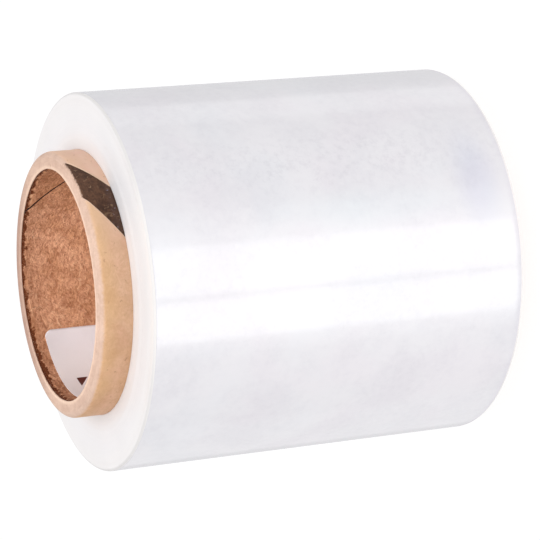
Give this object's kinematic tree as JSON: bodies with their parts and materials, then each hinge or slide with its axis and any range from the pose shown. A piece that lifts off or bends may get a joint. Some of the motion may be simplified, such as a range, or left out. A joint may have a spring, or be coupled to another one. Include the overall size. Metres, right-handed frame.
{
  "type": "stretch wrap roll",
  "caption": "Clear stretch film wound on a spiral-wound paper core that stands out at both ends, with a blank paper label stuck inside the bore.",
  "frame": {"origin": "centre of the core's lower end, on the surface that the roll stands on", "axes": "+Z along the core's axis, towards the end with the label inside the bore; the roll stands on the core's other end"},
  "size_m": [0.1259, 0.1259, 0.151],
  "materials": {
    "core_board": "matte",
    "film": "glossy",
    "label_paper": "matte"
  },
  "bodies": {
    "root": {"core_tube": "core_board", "film_roll": "film", "core_label": "label_paper"}
  },
  "joints": []
}
